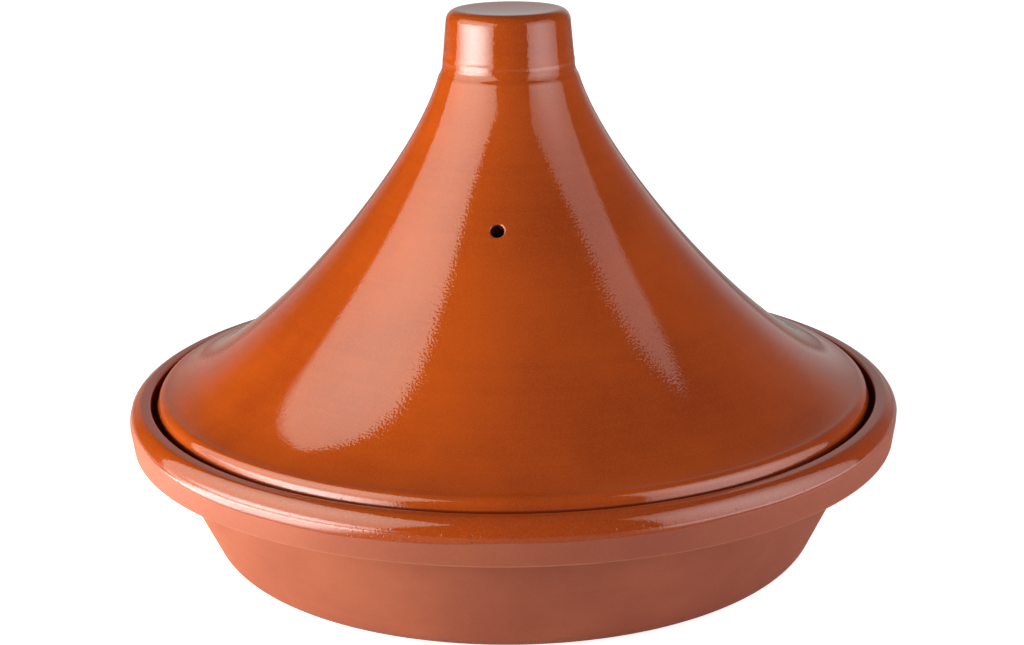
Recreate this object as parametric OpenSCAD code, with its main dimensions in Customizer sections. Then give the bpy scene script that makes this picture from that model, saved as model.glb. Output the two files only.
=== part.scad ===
// Tagine: a round terracotta dish with a heavy rim, and a tall flared lid that drops into it.
// Millimetres, +Z up, origin at the centre of the dish's foot on the table.
// Both pieces are turned shapes: a half profile of [radius, height] points, spun about Z.

/* [Dish] */
// Diameter across the outside of the rim
dish_d = 320; // [270:1:360]
// Height of the dish, from the table to the rim's crown
dish_h = 66.5; // [56:0.5:80]
// Diameter of the foot, where the wall's line would meet the table
foot_d = 247; // [225:1:252]
// Radius between the foot and the wall
foot_round = 11.6; // [4:0.2:15]
// Width of the foot ring that the dish stands on
foot_ring_w = 18; // [10:1:30]
// How far the middle of the underside is raised off the table
foot_lift = 1.2; // [0.6:0.1:2.5]
// Thickness of the floor, above the foot ring's plane
floor_t = 9.5; // [7:0.5:13]
// Thickness of the wall at floor level, measured level
wall_t = 8.5; // [6:0.5:12]
// Radius between the floor and the wall inside
bowl_round = 18; // [8:1:24]

/* [Rim] */
// Thickness of the rim, from its inner face to its widest line
rim_t = 9.3; // [9:0.1:12]
// Height of the rim's band, from its crown to its underside
rim_h = 18.4; // [14:0.2:22]
// Radius of the rim's outer shoulder
rim_round = 8; // [5:0.2:8.2]
// Radius of the rim's inner top edge
rim_inner_round = 1.3; // [0.5:0.1:1.8]
// Lean of the rim's outer face, in degrees off upright
rim_draft = 9.5; // [2:0.5:15]
// Radius of the rim's lower edge
rim_edge_round = 0.9; // [0.4:0.1:2]
// Width of the rim's underside, from its lower edge in to the wall
rim_overhang = 12.2; // [8:0.2:15]
// Radius between the rim's underside and the wall
rim_root_round = 3; // [1:0.5:5]

/* [Seat] */
// Depth of the lid's seat below the rim's crown
seat_drop = 8; // [5:0.5:11]
// Width of the seat, from the rim's inner face to the bowl's mouth
seat_w = 12.7; // [10:0.1:15]
// Radius in the seat's outer corner
seat_root_round = 1.5; // [0.5:0.1:2]
// Radius of the bowl's mouth, at the seat's inner edge
mouth_round = 2; // [1:0.1:3]

/* [Lid] */
// Height of the lid, from its seat to the knob's top edge
lid_h = 164.2; // [150:0.2:180]
// Gap all round between the lid's edge and the rim
lid_gap = 3; // [1.5:0.1:4]
// Thickness of the lid's wall
lid_wall = 8.5; // [6:0.5:11]
// Height of the lip, from the seat to its crown
lip_h = 11.2; // [9:0.1:14]
// Radius of the lip's upper edge
lip_round = 4; // [2:0.2:5]
// Radius of the lip's lower edges
lip_foot_round = 1.8; // [0.8:0.1:2.5]
// Width of the lip's flat underside, with its two rounded edges
lip_w = 10.2; // [8:0.1:11]

/* [Flare] */
// Diameter at the top of the flare, under the knob
neck_d = 57.2; // [50:0.2:64]
// Angle of the flare off upright at its top
neck_angle = 17; // [12:0.5:22]
// How far the flare keeps to that angle
neck_pull = 42; // [34:1:50]
// Angle of the flare off level at the lip
brim_angle = 11.4; // [8:0.2:16]
// How far the flare keeps to that angle
brim_pull = 32; // [24:1:40]

/* [Knob] */
// Height of the knob, from the crease at its base to its top edge
knob_h = 22.6; // [18:0.2:28]
// Diameter of the knob at the crease
knob_base_d = 53.6; // [48:0.2:55]
// Diameter of the knob's side at its top
knob_top_d = 49.4; // [42:0.2:54]
// Radius of the knob's top edge
knob_round = 4.4; // [2:0.2:7]
// How far the middle of the knob's top is dished
knob_dish = 0.6; // [0.2:0.1:1.5]
// Height of the shoulder between the crease and the flare
shoulder_h = 4.6; // [3:0.2:7]
// Radius in the crease and on the shoulder
crease_round = 4; // [1:0.5:5]
// Thickness of the knob's top over the hollow
knob_cap_t = 9; // [7:0.5:13]
// Radius at the top of the hollow in the knob
hollow_round = 8; // [4:0.5:11]

/* [Steam vent] */
// Diameter of the steam vent
vent_d = 5.2; // [3:0.1:8]
// Height of the vent's mouth above the seat
vent_h = 86.7; // [60:0.5:110]
// Width of the vent's softened mouth
vent_soft = 0.7; // [0.3:0.1:1.5]

/* [Hidden] */
$fn = 180;

ARC_STEPS = 8;      // straight steps in each small rounded corner
ROUND_STEPS = 14;   // straight steps in each large rounded corner
FLARE_STEPS = 48;   // straight steps down the lid's flare
CUT_OVER = 4;       // how far a cutter runs past the wall it cuts

clay = [0.72, 0.36, 0.24];
glaze = [0.70, 0.26, 0.08];

// ---- The dish's derived places ----
rim_r = dish_d / 2;
rim_centre = [rim_r - rim_round, dish_h - rim_round];
rim_tangent = rim_centre + rim_round * [cos(rim_draft), -sin(rim_draft)];
rim_under_z = dish_h - rim_h;
rim_low_r = rim_tangent.x - (rim_tangent.y - rim_under_z) * tan(rim_draft);
rim_inner_r = rim_r - rim_t;
bowl_top_r = rim_low_r - rim_overhang;
foot_r = foot_d / 2;
wall_slope = (bowl_top_r - foot_r) / rim_under_z;
foot_flat_r = foot_r - foot_round * tan((90 - atan(wall_slope)) / 2);
foot_recess_r = foot_flat_r - foot_ring_w;
seat_z = dish_h - seat_drop;
mouth_r = rim_inner_r - seat_w;
floor_r = foot_r + floor_t * wall_slope - wall_t;

// ---- The lid's derived places, with heights above the seat ----
lip_r = rim_inner_r - lid_gap;
lip_in_r = lip_r - lip_w;
neck_h = lid_h - knob_h - shoulder_h;
crease_h = lid_h - knob_h;
flare_top = [neck_d / 2, neck_h];
flare_end = [lip_r - lip_round, lip_h];
flare_in_top = flare_top + neck_pull * [sin(neck_angle), -cos(neck_angle)];
flare_in_end = flare_end + brim_pull * [-cos(brim_angle), sin(brim_angle)];
knob_base = [knob_base_d / 2, crease_h];
knob_top = [knob_top_d / 2, lid_h];
knob_flat_r = knob_top_d / 2 - knob_round;
cap_sphere_r = (knob_flat_r ^ 2 + knob_dish ^ 2) / (2 * knob_dish);
hollow_top_h = lid_h - knob_cap_t;

// ---- Shape helpers ----
function unit(v) = v / norm(v);
function turned(v, a) = [v.x * cos(a) - v.y * sin(a), v.x * sin(a) + v.y * cos(a)];

// The corner b between a and c, rounded with radius r in n steps.
function rounded(a, b, c, r, n = ARC_STEPS) =
    let (u = unit(a - b), v = unit(c - b))
    let (half = acos(u * v) / 2)
    let (centre = b + unit(u + v) * r / sin(half))
    let (start = b + u * r / tan(half) - centre)
    let (side = u.x * v.y - u.y * v.x > 0 ? -1 : 1)
    [for (i = [0:n]) centre + turned(start, side * (180 - 2 * half) * i / n)];

// Points on the flare's curve and its outward normal, for t from 0 at the neck to 1 at the lip.
function flare(t) =
    (1 - t) ^ 3 * flare_top + 3 * t * (1 - t) ^ 2 * flare_in_top
    + 3 * t ^ 2 * (1 - t) * flare_in_end + t ^ 3 * flare_end;
function flare_way(t) =
    unit((1 - t) ^ 2 * (flare_in_top - flare_top) + 2 * t * (1 - t) * (flare_in_end - flare_in_top)
    + t ^ 2 * (flare_end - flare_in_end));
function flare_normal(t) = turned(flare_way(t), 90);
function flare_inside(t) = flare(t) - lid_wall * flare_normal(t);

// The flare's t at height h, by halving.
function flare_at(h, low = 0, high = 1, n = 24) =
    let (mid = (low + high) / 2)
    n == 0 ? mid : flare(mid).y > h ? flare_at(h, mid, high, n - 1) : flare_at(h, low, mid, n - 1);

// The flare's t where its inner face comes to radius r, by halving.
function inside_at(r, low = 0, high = 1, n = 24) =
    let (mid = (low + high) / 2)
    n == 0 ? mid : flare_inside(mid).x < r ? inside_at(r, mid, high, n - 1) : inside_at(r, low, mid, n - 1);

// ---- The dish ----
function dish_profile() =
    let (recess_mid = [0, foot_lift], recess_edge = [foot_recess_r, foot_lift])
    let (ring_in = [foot_recess_r + 4 * foot_lift, 0], foot = [foot_r, 0])
    let (root = [bowl_top_r, rim_under_z], low = [rim_low_r, rim_under_z])
    let (crown_in = [rim_inner_r, dish_h], seat_out = [rim_inner_r, seat_z])
    let (mouth = [mouth_r, seat_z], floor_edge = [floor_r, floor_t], floor_mid = [0, floor_t])
    concat(
        [recess_mid],
        rounded(recess_mid, recess_edge, ring_in, foot_lift),
        rounded(recess_edge, ring_in, foot, foot_lift),
        rounded(ring_in, foot, root, foot_round, ROUND_STEPS),
        rounded(foot, root, low, rim_root_round),
        rounded(root, low, rim_tangent, rim_edge_round),
        [for (i = [0:ROUND_STEPS])
            let (a = -rim_draft + (90 + rim_draft) * i / ROUND_STEPS)
            rim_centre + rim_round * [cos(a), sin(a)]],
        rounded([rim_centre.x, dish_h], crown_in, seat_out, rim_inner_round),
        rounded(crown_in, seat_out, mouth, seat_root_round),
        rounded(seat_out, mouth, floor_edge, mouth_round),
        rounded(mouth, floor_edge, floor_mid, bowl_round, ROUND_STEPS),
        [floor_mid]);

module dish() {
    color(clay) rotate_extrude() polygon(dish_profile());
}

// ---- The lid ----
// The outer face, from the middle of the knob's top down to the lip.
function lid_outside() =
    let (cap_centre = [0, lid_h - knob_dish + cap_sphere_r])
    let (cap_angle = asin(knob_flat_r / cap_sphere_r))
    let (after_lip = [lip_r, 0], before_neck = flare(1 / FLARE_STEPS))
    concat(
        [for (i = [0:ARC_STEPS - 1])
            cap_centre + cap_sphere_r * [sin(cap_angle * i / ARC_STEPS), -cos(cap_angle * i / ARC_STEPS)]],
        rounded([0, lid_h], knob_top, knob_base, knob_round, ROUND_STEPS),
        rounded(knob_top, knob_base, flare_top, crease_round),
        [for (i = [1:FLARE_STEPS]) flare(i / FLARE_STEPS)],
        [for (i = [1:ARC_STEPS])
            [lip_r - lip_round, lip_h - lip_round] + lip_round * [sin(90 * i / ARC_STEPS), cos(90 * i / ARC_STEPS)]],
        rounded([lip_r, lip_h], after_lip, [lip_in_r, 0], lip_foot_round));

// The inner face, from the lip's underside up to the top of the hollow in the knob.
function lid_inside() =
    let (last = inside_at(lip_in_r - lip_foot_round), first_in = flare_inside(0))
    let (foot_in = [lip_in_r, 0], hollow_edge = [knob_flat_r + knob_round - lid_wall, hollow_top_h])
    concat(
        rounded([lip_r, 0], foot_in, flare_inside(last), lip_foot_round),
        [for (i = [0:FLARE_STEPS]) flare_inside(last * (1 - i / FLARE_STEPS))],
        rounded(first_in, hollow_edge, [0, hollow_top_h], hollow_round, ROUND_STEPS),
        [[0, hollow_top_h]]);

// The cutter for the steam vent, drilled square to the flare on the -Y side.
module vent_cutter() {
    t = flare_at(vent_h);
    mouth = flare(t);
    tilt = atan2(flare_normal(t).y, flare_normal(t).x);
    translate([0, -mouth.x, mouth.y]) rotate([90 - tilt, 0, 0]) {
        translate([0, 0, -lid_wall - CUT_OVER]) cylinder(d = vent_d, h = lid_wall + 2 * CUT_OVER);
        translate([0, 0, -vent_soft]) cylinder(r1 = vent_d / 2, r2 = vent_d / 2 + 2 * vent_soft, h = 2 * vent_soft);
    }
}

module lid() {
    color(glaze) translate([0, 0, seat_z]) difference() {
        rotate_extrude() polygon(concat(lid_outside(), lid_inside()));
        vent_cutter();
    }
}

dish();
lid();
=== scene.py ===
"""A tagine pot: a turned red-clay dish and a tall flared lid, both under a honey-brown glaze."""
import logging
import math
from collections.abc import Callable
from dataclasses import dataclass, field
from enum import Enum

import bmesh
import bpy
from mathutils import Color, Matrix, Vector, noise


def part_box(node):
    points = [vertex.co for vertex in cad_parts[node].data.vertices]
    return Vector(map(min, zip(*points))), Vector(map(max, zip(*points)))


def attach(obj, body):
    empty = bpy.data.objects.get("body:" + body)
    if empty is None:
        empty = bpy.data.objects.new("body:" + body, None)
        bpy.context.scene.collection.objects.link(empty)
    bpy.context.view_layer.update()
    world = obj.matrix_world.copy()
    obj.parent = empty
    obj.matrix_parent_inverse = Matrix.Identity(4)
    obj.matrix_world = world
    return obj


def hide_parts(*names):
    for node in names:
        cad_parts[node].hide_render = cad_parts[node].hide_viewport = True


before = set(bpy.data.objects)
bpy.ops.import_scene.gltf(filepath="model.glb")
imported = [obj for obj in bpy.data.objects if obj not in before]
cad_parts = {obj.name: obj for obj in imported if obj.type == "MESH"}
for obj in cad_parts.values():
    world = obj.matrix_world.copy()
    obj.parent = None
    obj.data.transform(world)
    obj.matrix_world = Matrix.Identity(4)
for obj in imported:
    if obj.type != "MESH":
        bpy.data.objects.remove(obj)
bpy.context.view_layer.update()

log = logging.getLogger("tagine")

MM = 0.001  # one millimetre, in metres
WELD = 1e-7  # points closer than this, in metres, are one point
FULL_TURN = 2 * math.pi
QUARTER_TURN = math.pi / 2
SECTORS = 8  # sectors that a full turn is spun in
HALVINGS = 30  # how often a place on the flare is halved in on
CELL_SLACK = 0.4  # how many cells off a point of a grid may lie and still count as its own
SAME_FACE = 0.4  # how far off a face its own points may lie, as a share of the wall

# How many straight steps a curve has.
ARC_STEPS = 8
ROUND_STEPS = 16
BROW_STEPS = 24
LIP_STEPS = 10
COAT_END_STEPS = 5  # round the lip's foot, from its side to where the glaze stops
BARE_FOOT_STEPS = 4  # and from where the clay begins to the foot's underside
KNOB_TOP_STEPS = 12
EASE_STEPS = 6
FLARE_STEPS = 400

Outline = list[Vector]  # a half profile: points of radius and height, in millimetres
Colour = tuple[float, float, float, float]
Span = tuple[float, float]


# ---- outlines

def point(radius: float, height: float) -> Vector:
    """A point of a half profile, in millimetres."""
    return Vector((radius, height))


def rounded(before: Vector, at: Vector, after: Vector, radius: float, steps: int = ARC_STEPS) -> Outline:
    """Round off a corner of an outline.

    Args:
        before: the point before the corner.
        at: the corner.
        after: the point after it.
        radius: the radius of the round, in millimetres.
        steps: how many straight steps the round has.

    Returns:
        The points of the round, from the side of `before` to the side of `after`.
    """
    first = (before - at).normalized()
    second = (after - at).normalized()
    half = first.angle(second) / 2
    centre = at + (first + second).normalized() * (radius / math.sin(half))
    start = at + first * (radius / math.tan(half)) - centre
    sweep = (2 * half - math.pi) * (1 if first.cross(second) > 0 else -1)
    return [centre + Matrix.Rotation(sweep * i / steps, 2) @ start for i in range(steps + 1)]


def heading(angle: float) -> Vector:
    """A direction, at an angle in degrees above level and outward."""
    return Vector((math.cos(math.radians(angle)), math.sin(math.radians(angle))))


def arc(centre: Vector, radius: float, start: float, end: float, steps: int) -> Outline:
    """Points on an arc, with its angles in degrees above level."""
    return [centre + radius * heading(start + (end - start) * i / steps) for i in range(steps + 1)]


def straight(start: Vector, end: Vector, spacing: float) -> Outline:
    """Points strictly between two ends, about `spacing` millimetres apart."""
    steps = max(1, round((end - start).length / spacing))
    return [start.lerp(end, i / steps) for i in range(1, steps)]


def smooth(value: float, low: float, high: float) -> float:
    """Rise smoothly from 0 at `low` to 1 at `high`."""
    share = min(max((value - low) / (high - low), 0.0), 1.0)
    return share * share * (3 - 2 * share)


# ---- turned meshes and objects

def turn(outline: Outline, steps: int) -> bmesh.types.BMesh:
    """Spin a half profile into a closed skin: first one sector of the turn, then its copies.

    Args:
        outline: the half profile, from the axis to the axis.
        steps: how many steps the full turn has. The first is at the front, on the -Y side.

    Returns:
        The skin, in metres, with its seam and poles closed.
    """
    mesh = bmesh.new()
    sector = FULL_TURN / SECTORS
    about = {"cent": (0, 0, 0), "axis": (0, 0, 1), "dvec": (0, 0, 0)}
    chain = [mesh.verts.new((0.0, -p.x * MM, p.y * MM)) for p in outline]
    links = [mesh.edges.new(pair) for pair in zip(chain, chain[1:])]
    bmesh.ops.spin(mesh, geom=chain + links, angle=sector, steps=steps // SECTORS, **about)
    bmesh.ops.spin(mesh, geom=[*mesh.verts, *mesh.edges, *mesh.faces], angle=FULL_TURN - sector,
                   steps=SECTORS - 1, use_duplicate=True, **about)
    bmesh.ops.remove_doubles(mesh, verts=mesh.verts, dist=WELD)
    return mesh


def radius_of(place: Vector) -> float:
    """How far a place lies from the Z axis."""
    return math.hypot(place.x, place.y)


def set_radius(place: Vector, radius: float) -> None:
    """Move a place straight out or in, to the radius given.

    Args:
        place: the place, which this changes.
        radius: its new distance from the Z axis.
    """
    scale = radius / radius_of(place)
    place.x *= scale
    place.y *= scale


def add_object(name: str, data: bpy.types.ID) -> bpy.types.Object:
    """Add an object to the scene.

    Args:
        name: the object's name.
        data: its mesh, lamp or camera.

    Returns:
        The object.
    """
    made = bpy.data.objects.new(name, data)
    bpy.context.scene.collection.objects.link(made)
    return made


def finish_piece(name: str, mesh: bmesh.types.BMesh, finishes: list[bpy.types.Material],
                 body: str, node: str) -> None:
    """Turn a skin into a finished piece that rides on its body.

    Args:
        name: the piece's name.
        mesh: its skin, in metres, which this frees.
        finishes: its materials, in the order of the faces' material numbers.
        body: the body that carries it.
        node: the CAD node that it stands for.
    """
    bmesh.ops.recalc_face_normals(mesh, faces=mesh.faces)
    for face in mesh.faces:
        face.smooth = True
    data = bpy.data.meshes.new(name)
    mesh.to_mesh(data)
    mesh.free()
    for finish in finishes:
        data.materials.append(finish)
    piece = add_object(name, data)
    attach(piece, body)
    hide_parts(node)
    log.info("%s: %d faces, rides on %s", name, len(data.polygons), body)


# ---- shader writing

def operator(operation: str, swapped: bool = False) -> Callable[["Wire", "Wire | float"], "Wire"]:
    """The method behind one of Python's signs, which adds a Math node.

    Args:
        operation: the node's operation.
        swapped: whether the other value comes first.

    Returns:
        The method.
    """
    def method(wire: "Wire", other: "Wire | float") -> "Wire":
        """Add the node."""
        return wire.maths(operation, *((other, wire) if swapped else (wire, other)))
    return method


class Wire:
    """A shader socket that Python arithmetic works on."""

    def __init__(self, tree: bpy.types.NodeTree, socket: bpy.types.NodeSocket) -> None:
        """Wrap one output socket of a tree."""
        self.tree = tree
        self.socket = socket

    def maths(self, operation: str, *values: "Wire | float") -> "Wire":
        """Add a Math node and return its result."""
        shader = Shader(self.tree)
        return shader.wire(shader.node("ShaderNodeMath", dict(enumerate(values)), operation=operation))

    __add__ = __radd__ = operator("ADD")
    __sub__ = operator("SUBTRACT")
    __rsub__ = operator("SUBTRACT", swapped=True)
    __mul__ = __rmul__ = operator("MULTIPLY")
    __truediv__ = operator("DIVIDE")

    def power(self, exponent: float) -> "Wire":
        """Raise to a power."""
        return self.maths("POWER", self, exponent)

    def size(self) -> "Wire":
        """The value without its sign."""
        return self.maths("ABSOLUTE", self)

    def above(self, limit: float) -> "Wire":
        """1 where the value is over the limit, and 0 elsewhere."""
        return self.maths("GREATER_THAN", self, limit)

    def rise(self, low: float, high: float) -> "Wire":
        """Rise smoothly from 0 at `low` to 1 at `high`.

        Args:
            low: the value up to which the result is 0.
            high: the value from which it is 1.

        Returns:
            The result.
        """
        shader = Shader(self.tree)
        ends = {"Value": self, "From Min": low, "From Max": high}
        made = shader.node("ShaderNodeMapRange", ends, interpolation_type="SMOOTHSTEP")
        return shader.wire(made, "Result")


def connect(tree: bpy.types.NodeTree, value: object, socket: bpy.types.NodeSocket) -> None:
    """Link a wire to a socket, or set a plain value on it.

    Args:
        tree: the socket's node tree.
        value: the wire or the plain value.
        socket: an input socket.
    """
    if isinstance(value, Wire):
        tree.links.new(value.socket, socket)
    else:
        socket.default_value = value


@dataclass
class Shader:
    """A material's or world's node tree, and the few nodes that the finishes are written with."""

    tree: bpy.types.NodeTree

    def node(self, kind: str, inputs: dict[str | int, object] | None = None,
             **settings: object) -> bpy.types.Node:
        """Add a node.

        Args:
            kind: the node's type.
            inputs: values or wires for its sockets, by name or number.
            settings: its own settings, which are set first.

        Returns:
            The node.
        """
        made = self.tree.nodes.new(kind)
        for name, value in settings.items():
            setattr(made, name, value)
        for key, value in (inputs or {}).items():
            connect(self.tree, value, made.inputs[key])
        return made

    def wire(self, node: bpy.types.Node, output: str | int = 0) -> Wire:
        """Wrap one output of a node."""
        return Wire(self.tree, node.outputs[output])

    def place(self) -> Wire:
        """The place on the piece, in metres."""
        return self.wire(self.node("ShaderNodeTexCoord"), "Object")

    def axes(self, vector: Wire) -> tuple[Wire, Wire, Wire]:
        """Split a vector into its X, Y and Z."""
        split = self.node("ShaderNodeSeparateXYZ", {0: vector})
        return self.wire(split, 0), self.wire(split, 1), self.wire(split, 2)

    def vector(self, x: "Wire | float", y: "Wire | float", z: "Wire | float") -> Wire:
        """Join three values into a vector."""
        return self.wire(self.node("ShaderNodeCombineXYZ", {0: x, 1: y, 2: z}))

    def mix(self, share: "Wire | float", first: object, second: object) -> Wire:
        """Blend two colours."""
        return self.wire(self.node("ShaderNodeMix", {0: share, 6: first, 7: second}, data_type="RGBA"), 2)

    def vectors(self, operation: str, *values: "Wire | Vector", output: str = "Vector") -> Wire:
        """Add a Vector Math node and return its result."""
        made = self.node("ShaderNodeVectorMath", dict(enumerate(values)), operation=operation)
        return self.wire(made, output)

    def bump(self, height: Wire) -> Wire:
        """The normal of a surface whose relief is `height` millimetres high."""
        return self.wire(self.node("ShaderNodeBump", {"Height": height, "Distance": MM}), "Normal")


@dataclass(frozen=True)
class Grain:
    """Smooth noise around 0.5, and what it does to a finish. Sizes in millimetres."""

    size: float  # of its features
    detail: float = 2.0  # how many finer layers it has
    roughness: float = 0.5  # and how strong they are
    tint: float = 0.0  # how strongly it tints
    height: float = 0.0  # of its relief

    def on(self, shader: Shader, place: Wire) -> Wire:
        """The noise at a place.

        Args:
            shader: the shader to write it in.
            place: the place, in metres.

        Returns:
            The noise, from 0 to 1.
        """
        made = shader.node("ShaderNodeTexNoise", {
            "Vector": place, "Scale": 1 / (self.size * MM),
            "Detail": self.detail, "Roughness": self.roughness})
        return shader.wire(made, "Fac")


@dataclass(frozen=True)
class Specks:
    """Round spots, 1 at their middles and 0 between them, and what they do. Sizes in millimetres."""

    spacing: float  # mean distance between places for a spot
    size: float  # a spot's diameter
    share: float  # share of those places that has a spot
    tint: float = 0.0  # how strongly they tint
    height: float = 0.0  # of their relief, or below 0 its depth
    core: float = 0.4  # share of its diameter over which a spot is full

    def on(self, shader: Shader, place: Wire) -> Wire:
        """The mask at a place.

        Args:
            shader: the shader to write them in.
            place: the place, in metres.

        Returns:
            The mask.
        """
        cells = shader.node("ShaderNodeTexVoronoi", {"Vector": place, "Scale": 1 / (self.spacing * MM)})
        chance = shader.axes(shader.wire(cells, "Color"))[0]
        radius = self.size / 2 / self.spacing
        spot = 1 - shader.wire(cells, "Distance").rise(self.core * radius, radius)
        return spot * chance.above(1 - self.share)


def paint(red: float, green: float, blue: float) -> Colour:
    """A colour from its screen values, 0 to 255."""
    linear = Color([value / 255 for value in (red, green, blue)]).from_srgb_to_scene_linear()
    return (*linear, 1.0)


@dataclass
class Finish:
    """A material in the making."""

    material: bpy.types.Material
    shader: Shader
    surface: bpy.types.Node
    place: Wire  # on the piece, in metres
    radius: Wire  # distance from the pot's axis
    height: Wire

    @classmethod
    def start(cls, name: str) -> "Finish":
        """Make an empty material.

        Args:
            name: the material's name.

        Returns:
            The finish.
        """
        material = bpy.data.materials.new(name)
        material.use_nodes = True
        shader = Shader(material.node_tree)
        place = shader.place()
        x, y, height = shader.axes(place)
        surface = material.node_tree.nodes["Principled BSDF"]
        return cls(material, shader, surface, place, (x * x + y * y).power(0.5), height)

    def rings(self, grain: Grain) -> Wire:
        """Noise that runs in rings round the pot, like the marks of turning."""
        return grain.on(self.shader, self.shader.vector(self.radius, 0.0, self.height))

    def set(self, **inputs: object) -> None:
        """Set sockets of the surface, named with _ for a space, to values or wires."""
        for name, value in inputs.items():
            connect(self.shader.tree, value, self.surface.inputs[name.replace("_", " ")])


@dataclass(frozen=True)
class HoneyGlaze:
    """A glossy, transparent honey-brown glaze with the red clay's grain showing through.

    It lies rough and blistered where it stops, on the lid's foot and the dish's rim. The vent's bore is
    painted dark as painted shade, and the gap between the lip and the rim is painted a matt dark shade. Sizes
    in millimetres.
    """

    vent: Matrix  # the vent's own axes, with its mouth as their origin
    vent_radius: float
    lip_radius: float  # radius over the lid's lip
    rim_radius: float  # radius of the rim's inner face
    seat_height: float
    rim_height: float  # height of the rim's top
    name: str = "honey_glaze"

    thin: Colour = paint(198, 80, 20)
    thick: Colour = paint(168, 63, 17)
    grog: Colour = paint(208, 104, 38)
    pinhole: Colour = paint(96, 36, 18)
    # painted shade on the wall of the vent's bore
    vent_shade: Colour = paint(96, 46, 34)
    # painted shade in the gap between the lip and the rim
    gap_shade: Colour = paint(116, 44, 24)

    rings: Grain = Grain(3.5, 3.0, tint=0.2)
    cloud: Grain = Grain(45, 3.0, tint=0.85)  # slow changes of the glaze's thickness
    grain: Grain = Grain(0.55, 2.0, 0.6, tint=0.34)  # of the clay below it
    peel: Grain = Grain(0.9, 0.0, height=0.0261)  # orange peel
    pinholes: Specks = Specks(11, 0.5, 0.2, tint=0.6, height=-0.027)
    bubbles: Specks = Specks(9, 0.4, 0.3, tint=0.45, height=0.018)
    blisters: Specks = Specks(1.5, 0.9, 0.3, height=0.0765)  # where the glaze stops
    pits: Specks = Specks(2.3, 0.9, 0.25, tint=0.75, height=-0.099)  # and there too
    depth_span: Span = (0.22, 0.82)  # cloud and rings together, where the glaze is thinnest and thickest
    rim_depth: float = 0.75  # how far the dish's rim is pushed toward the glaze's thick, darker colour
    grog_span: Span = (0.4, 0.75)  # the grain where it is hidden and where it shows fully

    refraction: float = 1.5
    gloss: float = 0.028  # roughness of the clean glaze
    grain_roughness: float = 0.03
    gap_roughness: float = 0.15
    lip_roughness: float = 0.08
    # roughness of the gap's painted shade
    gap_shade_roughness: float = 0.9

    bore_fade: Span = (1.01, 1.08)  # where the bore's painted shade ends across, in radii of the vent
    bore_depth: float = 5.0  # and how deep it goes
    gap_inset: float = 1.0  # how far the gap's painted shade reaches in under the lip
    gap_outset: float = 0.8  # and out under the rim's skin
    gap_drop: float = 1.3  # how far below the rim's top it ends
    gap_fade: Span = (-0.5, 0.4)  # heights about that end over which it fades
    lip_fade: Span = (-0.2, 1.4)  # and over which the lip's rough edge does
    edge_inset: float = 3.0  # how far inside the lip's radius the rough edges begin
    edge_rise: float = 4.0  # how far above the seat they end
    edge_fade: float = 1.5

    def in_vent(self, shader: Shader, place: Wire) -> Wire:
        """1 on the wall of the vent's bore, which is painted dark as painted shade, and 0 elsewhere.

        Args:
            shader: the shader to write it in.
            place: the place, in metres.

        Returns:
            The mask.
        """
        inward = shader.vectors("SUBTRACT", place, self.vent.translation * MM)
        reach = shader.vectors("LENGTH", inward, output="Value")
        across = shader.vectors("CROSS_PRODUCT", inward, self.vent.col[2].xyz)
        off_axis = shader.vectors("LENGTH", across, output="Value")
        bore = 1 - off_axis.rise(*(self.vent_radius * share * MM for share in self.bore_fade))
        return bore * (1 - reach.above(self.vent_radius * self.bore_depth * MM))

    def build(self) -> bpy.types.Material:
        """Make the material.

        Returns:
            The material.
        """
        finish = Finish.start(self.name)
        shader, place, radius, height = finish.shader, finish.place, finish.radius, finish.height
        pinholes, bubbles = self.pinholes.on(shader, place), self.bubbles.on(shader, place)
        grain, peel = self.grain.on(shader, place), self.peel.on(shader, place)

        on_rim = radius.above((self.rim_radius + self.gap_outset) * MM)
        beside = radius.above((self.lip_radius - self.gap_inset) * MM) * (1 - on_rim)
        top = self.rim_height - self.gap_drop
        gap, low_lip = (beside * (1 - height.rise((top + low) * MM, (top + high) * MM))
                        for low, high in (self.gap_fade, self.lip_fade))
        edge = self.seat_height + self.edge_rise
        low = 1 - height.rise((edge - self.edge_fade) * MM, edge * MM)
        margin = low * radius.above((self.lip_radius - self.edge_inset) * MM) + low_lip
        blisters, pits = self.blisters.on(shader, place) * margin, self.pits.on(shader, place) * margin

        depth = self.cloud.on(shader, place) * self.cloud.tint + finish.rings(self.rings) * self.rings.tint
        depth = depth.rise(*self.depth_span)
        depth = depth + (1 - depth) * on_rim * self.rim_depth
        colour = shader.mix(depth, self.thin, self.thick)
        colour = shader.mix(grain.rise(*self.grog_span) * self.grain.tint, colour, self.grog)
        colour = shader.mix(bubbles * self.bubbles.tint, colour, self.grog)
        colour = shader.mix(pinholes * self.pinholes.tint + pits * self.pits.tint, colour, self.pinhole)
        # painted shade on the wall of the vent's bore
        colour = shader.mix(self.in_vent(shader, place), colour, self.vent_shade)
        # painted shade in the gap between the lip and the rim
        colour = shader.mix(gap, colour, self.gap_shade)
        roughness = self.gloss + grain * self.grain_roughness + gap * self.gap_roughness
        relief = (peel * self.peel.height + bubbles * self.bubbles.height + pinholes * self.pinholes.height
                  + blisters * self.blisters.height + pits * self.pits.height)
        finish.set(IOR=self.refraction, Base_Color=colour, Normal=shader.bump(relief),
                   Roughness=roughness + low_lip * self.lip_roughness)

        # the gap's painted shade: a matt, dark surface without reflection, mixed over the glaze
        matt = shader.node("ShaderNodeBsdfPrincipled", {
            "Base Color": self.gap_shade, "Roughness": self.gap_shade_roughness, "Specular IOR Level": 0.0})
        both = shader.node("ShaderNodeMixShader", {
            0: gap, 1: shader.wire(finish.surface), 2: shader.wire(matt)})
        output = shader.tree.nodes["Material Output"]
        connect(shader.tree, shader.wire(both), output.inputs["Surface"])
        return finish.material


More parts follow.
